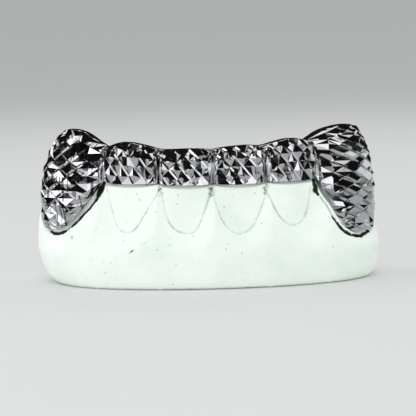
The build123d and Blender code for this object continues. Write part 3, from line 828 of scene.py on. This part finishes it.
    def crease_cuts(self, piece: Object) -> None:
        """Crease the edges of the diamond cut and of the rim, and leave the rest to round off."""
        edit(piece, "EDGE")
        work, layer = in_edit(piece)
        rim = math.radians(self.rim_angle)
        for edge in work.edges:
            cut = any(face[layer] for face in edge.link_faces)
            edge.select_set(cut or edge.calc_face_angle(0.0) > rim)
        bmesh.update_edit_mesh(piece.data)
        bpy.ops.transform.edge_crease(value=1.0)
        bpy.ops.object.mode_set(mode="OBJECT")

    def shade(self, piece: Object) -> None:
        """Shade the cut flat and the bands smooth, and store where the metal is satin or hatched.

        Args:
            piece: The subdivided metal.
        """
        work, layer = opened(piece)
        worked = work.loops.layers.float_color.new("worked")
        rim = math.radians(self.rim_angle)
        for face in work.faces:
            middle = face.calc_center_median()
            column = self.beside_contact(middle, self.column_reach_mm)
            face.smooth = column or not face[layer]
            patch = noise.noise(middle / (self.hatch_patch_mm * MM)) > self.hatch_from
            hatched = face[layer] != 0 and self.cap_number(middle) == 0 and patch
            for loop in face.loops:
                # The first channel marks the satin grooves, which also get the painted sheen colour.
                loop[worked] = (float(column), float(hatched), 0.0, 1.0)
        for edge in work.edges:
            edge.smooth = edge.calc_face_angle(0.0) < rim
        write_back(work, piece)


@dataclass(frozen=True)
class MarkedLine:
    """A line on the front of the plaster that is pressed in and coloured.

    Depth from front to back counts less than the other ways, so that a line also marks a surface
    that lies a little in front of it or behind it.
    """

    mark: Mark
    half_width_mm: float
    depth_mm: float
    strength: float
    points: tuple[Triple, ...]
    steps: int = 6
    depth_share: float = 0.35

    def rounded(self) -> np.ndarray:
        """Run a smooth curve through the points of the line, with one point a row."""
        given = np.array(self.points)
        ends = np.vstack([2.0 * given[0] - given[1], given, 2.0 * given[-1] - given[-2]])
        found = []
        for before, start, end, after in zip(ends, ends[1:], ends[2:], ends[3:]):
            for t in np.linspace(0.0, 1.0, self.steps, endpoint=False):
                bend = (2.0 * before - 5.0 * start + 4.0 * end - after) * t + (
                    3.0 * start - before - 3.0 * end + after
                ) * t * t
                found.append(start + 0.5 * t * (end - before + bend))
        return np.vstack(found + [given[-1]])

    def nearness(self, places: np.ndarray) -> np.ndarray:
        """Say how near each place is to the line, from one on it to nothing away from it.

        Args:
            places: Points in millimetres, one a row.

        Returns:
            One number a point.
        """
        flat = np.array((1.0, self.depth_share, 1.0))
        line = self.rounded() * flat
        spots = places * flat
        least = np.full(len(spots), np.inf)
        for start, end in zip(line, line[1:]):
            run = end - start
            share = np.clip((spots - start) @ run / (run @ run), 0.0, 1.0)
            away = np.linalg.norm(spots - start - share[:, None] * run, axis=1)
            least = np.minimum(least, away)
        return np.exp(-((least / self.half_width_mm) ** 2))


# Gum lines: pressed creases that carry painted shade.
GUM_LINES = (
    ((-10.88, -2.99, 10.26), (-10.42, -3.74, 7.95), (-9.88, -4.48, 6.25), (-9.00, -4.91, 5.72),
     (-8.11, -5.32, 6.20), (-7.08, -5.56, 7.75), (-6.26, -5.64, 9.10), (-5.61, -5.34, 10.17)),
    ((-5.61, -5.34, 10.17), (-4.83, -6.24, 6.80), (-3.47, -6.53, 5.69), (-2.06, -6.69, 6.11),
     (-0.82, -6.41, 9.03), (-0.53, -6.11, 10.06)),
    ((-0.53, -6.11, 10.06), (0.54, -7.03, 6.84), (2.10, -6.83, 5.50), (3.71, -6.32, 6.31),
     (4.83, -5.87, 8.84), (4.98, -5.51, 9.97)),
    ((4.98, -5.51, 9.97), (6.29, -6.12, 7.25), (7.66, -5.61, 6.14), (9.15, -4.35, 6.88),
     (9.92, -3.41, 9.79)),
)
# Ditches along the canines' margins: pressed in and painted near black as shadow.
DITCHES = (
    ((-11.14, -1.24, 10.45), (-11.47, -1.45, 9.66), (-11.96, -2.00, 8.90), (-12.49, -2.60, 8.28),
     (-13.13, -2.30, 7.53), (-13.81, -2.08, 6.85), (-14.50, -1.71, 6.24), (-15.09, -1.31, 5.70),
     (-15.76, -0.55, 5.43), (-16.25, 0.18, 5.37), (-16.52, 0.85, 5.51)),
    ((12.07, -4.16, 6.66), (12.51, -4.05, 6.05), (12.97, -3.76, 5.50), (13.57, -3.15, 4.99),
     (14.35, -2.43, 4.64), (15.21, -1.29, 4.43), (15.86, -0.45, 4.59), (16.30, 0.41, 4.75)),
)
HAIR_LINE = ((10.87, -3.49, 8.70), (11.29, -3.74, 8.10), (11.60, -3.93, 7.59), (12.07, -4.16, 6.66))
# Gaps beside the canines' caps at the contacts: pressed in and painted near black as shadow.
GAPS = (
    (0.27, ((10.42, -2.40, 10.35), (10.36, -2.80, 9.80), (10.42, -3.30, 9.35))),
    (0.15, ((10.42, -3.30, 9.35), (10.62, -3.42, 8.98))),
    (0.22, ((-11.02, -2.08, 10.80), (-11.14, -1.24, 10.45), (-11.47, -1.45, 9.66))),
)
STAINS = (
    ((-5.61, -5.34, 10.17), (-5.61, -5.34, 9.67)),
    ((-0.53, -6.11, 10.06), (-0.53, -6.11, 9.56)),
    ((4.98, -5.51, 9.97), (4.98, -5.51, 9.47)),
)
SCRATCH = ((-8.95, -6.44, 3.72), (-8.49, -6.44, 4.08))
BLOB = ((-14.54, -2.75, 5.10), (-14.54, -2.75, 5.18))


@dataclass
class PlasterCast:
    """The plaster block that the grill stands on, with teeth, gum and trimmed base."""

    weld_mm: float = 0.002
    pair_angle: float = 60.0
    pair_shape_angle: float = 180.0
    bottom_facing: float = 0.9
    bottom_crease: float = 0.9
    corner_crease: float = 0.6
    corner_angle: float = 38.0
    smooth_angle: float = 50.0
    near_mm: float = 0.5
    least_near: float = 0.02
    uneven: float = 0.75
    slow_mm: float = 1.7
    slow_share: float = 1.1
    quick_mm: float = 0.38
    quick_share: float = 0.9

    def lines(self) -> list[MarkedLine]:
        """List the lines of the plaster, each with its half width, depth and strength."""
        # Creases, the hair line and the spot get painted shade; ditches, gaps and the scratch get
        # near-black painted shadow; the stains are real stains.
        found = [MarkedLine(Mark.CREASE, 0.09, 0.07, 0.55, line) for line in GUM_LINES]
        found += [MarkedLine(Mark.DITCH, 0.18, 0.16, 1.3, line) for line in DITCHES]
        for half_width, line in GAPS:
            found.append(MarkedLine(Mark.DITCH, half_width, 0.13, 1.8, line, depth_share=0.08))
        found += [MarkedLine(Mark.STAIN, 0.34, 0.03, 0.48, line) for line in STAINS]
        found.append(MarkedLine(Mark.CREASE, 0.09, 0.04, 1.0, HAIR_LINE))
        found.append(MarkedLine(Mark.DITCH, 0.06, 0.03, 0.85, SCRATCH))
        found.append(MarkedLine(Mark.CREASE, 0.17, 0.0, 1.3, BLOB))
        return found

    def build(self, finish: DentalPlaster) -> Object:
        """Model and dress the cast.

        Args:
            finish: Finish of the plaster.

        Returns:
            The finished piece.
        """
        piece = merged_copy("plaster_cast", "plaster_tooth_cast", self.weld_mm * MM)
        self.prepare(piece)
        apply_modifier(piece, "SUBSURF", levels=2, render_levels=2)
        self.refine(piece)
        self.press_marks(piece)
        activate(piece)
        bpy.ops.object.shade_smooth_by_angle(angle=math.radians(self.smooth_angle))
        piece.data.materials.append(finish.material())
        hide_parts("plaster_cast")
        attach(piece, BODY)
        return piece

    def prepare(self, piece: Object) -> None:
        """Pair the triangles into four-sided faces and keep the trimmed bottom edge crisp.

        Args:
            piece: The merged copy of the plaster.
        """
        edit(piece, "VERT", "SELECT")
        bpy.ops.mesh.tris_convert_to_quads(
            face_threshold=math.radians(self.pair_angle),
            shape_threshold=math.radians(self.pair_shape_angle),
        )
        work = bmesh.from_edit_mesh(piece.data)
        layers = work.edges.layers.float
        creases = layers.get("crease_edge") or layers.new("crease_edge")
        for edge in work.edges:
            below = [face.normal.z < -self.bottom_facing for face in edge.link_faces]
            if any(below) and not all(below):
                edge[creases] = self.bottom_crease
            elif edge.calc_face_angle(0.0) > math.radians(self.corner_angle):
                edge[creases] = self.corner_crease
        bmesh.update_edit_mesh(piece.data)
        bpy.ops.object.mode_set(mode="OBJECT")

    def refine(self, piece: Object) -> None:
        """Divide the faces near the marked lines, so that the lines come out fine.

        Args:
            piece: The subdivided plaster.
        """
        edit(piece, "FACE")
        work = bmesh.from_edit_mesh(piece.data)
        centres = np.array([face.calc_center_median() for face in work.faces]) / MM
        chosen = np.zeros(len(centres), dtype=bool)
        at_near = math.exp(-1.0)
        for line in self.lines():
            wide = MarkedLine(line.mark, self.near_mm, 0.0, 1.0, line.points)
            chosen |= wide.nearness(centres) > at_near
        for face, near in zip(work.faces, chosen):
            face.select_set(bool(near))
        bmesh.update_edit_mesh(piece.data)
        bpy.ops.mesh.subdivide(number_cuts=2)
        bpy.ops.object.mode_set(mode="OBJECT")

    def press_marks(self, piece: Object) -> None:
        """Press the marked lines into the plaster and store their strengths for the finish.

        Args:
            piece: The refined plaster.
        """
        mesh = piece.data
        count = len(mesh.vertices)
        places, normals = np.empty(count * 3), np.empty(count * 3)
        mesh.vertices.foreach_get("co", places)
        mesh.vertices.foreach_get("normal", normals)
        places = places.reshape(count, 3) / MM
        normals = normals.reshape(count, 3)
        marks = np.zeros((count, 4))
        marks[:, 3] = 1.0
        depth = np.zeros(count)
        for line in self.lines():
            near = line.nearness(places)
            for index in np.flatnonzero(near > self.least_near):
                spot = Vector(places[index])
                slow = self.slow_share * noise.noise(spot / self.slow_mm)
                quick = self.quick_share * noise.noise(spot / self.quick_mm)
                near[index] *= 1.0 + self.uneven * (slow + quick)
            channel = line.mark.value
            marks[:, channel] = np.maximum(marks[:, channel], near * line.strength)
            depth = np.maximum(depth, near * line.depth_mm)
        places -= normals * depth[:, None]
        mesh.vertices.foreach_set("co", (places * MM).ravel())
        layer = mesh.attributes.new("marks", "FLOAT_COLOR", "POINT")
        layer.data.foreach_set("color", marks.ravel())
        mesh.update()


@dataclass(frozen=True)
class SoftBox:
    """A lit rectangle that faces the teeth, with angles in degrees as in facing()."""

    name: str
    azimuth: float
    elevation: float
    far_mm: float
    wide_mm: float
    high_mm: float
    glow: float

    def hang(self, centre: Vector) -> None:
        """Hang the box round a centre in metres; a glow of one is a face that shows as white."""
        away = facing(self.azimuth, self.elevation)
        data = bpy.data.lights.new(self.name, "AREA")
        data.shape = "RECTANGLE"
        data.size = self.wide_mm * MM
        data.size_y = self.high_mm * MM
        data.energy = self.glow * math.pi * data.size * data.size_y
        box = bpy.data.objects.new(self.name, data)
        box.location = centre + away * self.far_mm * MM
        box.rotation_euler = (-away).to_track_quat("-Z", "Y").to_euler()
        bpy.context.scene.collection.objects.link(box)


@dataclass
class Studio:
    """Pale floor, soft lights and the camera at the photograph's angle.

    A flag is a dark cloth strip on the floor: its azimuth in degrees, the distance of its near
    end and its width in millimetres.
    """

    floor_mm: float = 24000.0
    centre_mm: Triple = (0.0, -5.0, 8.0)
    anchor_mm: Triple = (-0.303, -8.332, 0.0)
    anchor_px: Pair = (217.0, 290.5)
    image_px: float = 416.0
    px_per_mm: float = 10.0
    sensor_mm: float = 36.0
    clip_start_mm: float = 10.0
    distance_mm: float = 250.0
    azimuth: float = -5.0
    elevation: float = 7.0
    roll: float = 1.0
    room_colour: str = "#F6F8FA"
    even_light: float = 0.74
    dim_room: float = 0.012
    card: MattSurface = MattSurface("pale_card", "#D9DAD8", 0.9)
    cloth: MattSurface = MattSurface("black_flag_cloth", "#0E0E10", 0.95)
    flag_mm: float = 70.0
    flag_above_mm: float = 1.5
    flag_rows: tuple[Triple, ...] = (
        (-78.0, 26.0, 10.0), (-52.0, 12.0, 7.0), (-14.0, 9.0, 5.0), (18.0, 16.0, 8.0),
        (46.0, 11.0, 7.0), (74.0, 24.0, 11.0),
    )
    boxes: tuple[SoftBox, ...] = (
        SoftBox("key", -20.0, 68.0, 320.0, 120.0, 50.0, 3.0),
        SoftBox("overhead", 0.0, 97.0, 300.0, 260.0, 50.0, 1.8),
        SoftBox("high", -2.0, 40.0, 330.0, 110.0, 90.0, 1.6),
        SoftBox("front_left", -46.0, 10.5, 330.0, 140.0, 110.0, 1.5),
        SoftBox("front", -6.0, 11.5, 330.0, 130.0, 110.0, 2.0),
        SoftBox("front_right", 26.0, 10.5, 330.0, 110.0, 110.0, 1.9),
        SoftBox("left", -94.0, 8.0, 300.0, 240.0, 70.0, 2.6),
        SoftBox("high_left", -90.0, 44.0, 300.0, 200.0, 80.0, 2.2),
        SoftBox("right", 60.0, 9.0, 300.0, 100.0, 80.0, 1.1),
        SoftBox("far_right", 110.0, 10.0, 300.0, 200.0, 90.0, 1.2),
        SoftBox("high_right", 92.0, 46.0, 300.0, 180.0, 70.0, 1.3),
        SoftBox("back", 175.0, 38.0, 340.0, 260.0, 100.0, 1.4),
    )

    def build(self) -> None:
        """Set up the floor, the world, the lights and the camera."""
        self.floor()
        self.world()
        for box in self.boxes:
            box.hang(Vector(self.centre_mm) * MM)
        self.flags()
        self.camera()
        bpy.context.scene.view_settings.view_transform = "Standard"

    def floor(self) -> None:
        """Lay the pale floor."""
        bpy.ops.object.select_all(action="DESELECT")
        bpy.ops.mesh.primitive_plane_add(size=self.floor_mm * MM, location=(0.0, 0.0, 0.0))
        floor = bpy.context.active_object
        floor.name = "floor"
        floor.data.materials.append(self.card.material())

    def world(self) -> None:
        """Fill the room with even light, which direct reflections in the metal see as a dim room."""
        world = bpy.data.worlds.new("studio_room")
        bpy.context.scene.world = world
        world.use_nodes = True
        world.node_tree.nodes.clear()
        add = partial(add_node, world.node_tree)
        ray = add("LightPath")
        even, dim = (
            add("Background", {"Color": linear(self.room_colour), "Strength": strength})
            for strength in (self.even_light, self.dim_room)
        )
        direct = add("Math", {0: ray.outputs["Diffuse Depth"], 1: 0.5}, operation="LESS_THAN")
        mirrored = add(
            "Math", {0: ray.outputs["Is Glossy Ray"], 1: direct.outputs[0]}, operation="MULTIPLY",
        )
        both = add("MixShader", {0: mirrored.outputs[0], 1: even.outputs[0], 2: dim.outputs[0]})
        add("OutputWorld", {"Surface": both.outputs[0]})

    def flags(self) -> None:
        """Lay the dark flags that break up the floor in the metal and that the camera doesn't see."""
        cloth = self.cloth.material()
        x, y, _ = self.centre_mm
        for number, (azimuth, near, width) in enumerate(self.flag_rows):
            away = facing(azimuth, 0.0) * (near + 0.5 * self.flag_mm)
            middle = Vector((x, y, self.flag_above_mm)) + away
            bpy.ops.object.select_all(action="DESELECT")
            bpy.ops.mesh.primitive_plane_add(
                size=1.0, location=middle * MM, rotation=(0.0, 0.0, math.radians(azimuth)),
            )
            flag = bpy.context.active_object
            flag.name = "flag_" + str(number)
            flag.scale = (width * MM, self.flag_mm * MM, 1.0)
            flag.data.materials.append(cloth)
            flag.visible_camera = False
            flag.visible_diffuse = False
            flag.visible_shadow = False
            flag.visible_transmission = False

    def camera(self) -> None:
        """Place the camera so that the anchor point falls on its pixel of the photograph."""
        roll = math.radians(self.roll)
        forward = -facing(self.azimuth, self.elevation)
        level = forward.cross(Vector((0.0, 0.0, 1.0))).normalized()
        upright = level.cross(forward)
        right = level * math.cos(roll) - upright * math.sin(roll)
        up = upright * math.cos(roll) + level * math.sin(roll)
        anchor = Vector(self.anchor_mm)
        eye = anchor - forward * self.distance_mm
        half = 0.5 * self.image_px
        across = (half - self.anchor_px[0]) / self.px_per_mm
        above = (self.anchor_px[1] - half) / self.px_per_mm
        target = anchor + right * across + up * above
        aim = (target - eye).normalized()
        side = aim.cross(up).normalized()
        over = side.cross(aim)
        data = bpy.data.cameras.new("camera")
        data.sensor_width = self.sensor_mm
        data.lens = data.sensor_width * self.distance_mm * self.px_per_mm / self.image_px
        data.clip_start = self.clip_start_mm * MM
        data.clip_end = 2.0 * self.floor_mm * MM
        camera = bpy.data.objects.new("camera", data)
        turn = Matrix((side, over, -aim)).transposed().to_4x4()
        camera.matrix_world = Matrix.Translation(eye * MM) @ turn
        bpy.context.scene.collection.objects.link(camera)
        bpy.context.scene.camera = camera


def main() -> None:
    """Build every piece in order and report it."""
    logging.basicConfig(level=logging.INFO, format="%(message)s")
    grill = DiamondCutGrill().build(PolishedSilver())
    LOG.info("%s: %d faces", grill.name, len(grill.data.polygons))
    cast = PlasterCast().build(DentalPlaster())
    LOG.info("%s: %d faces", cast.name, len(cast.data.polygons))
    Studio().build()


if __name__ == "__main__":
    main()
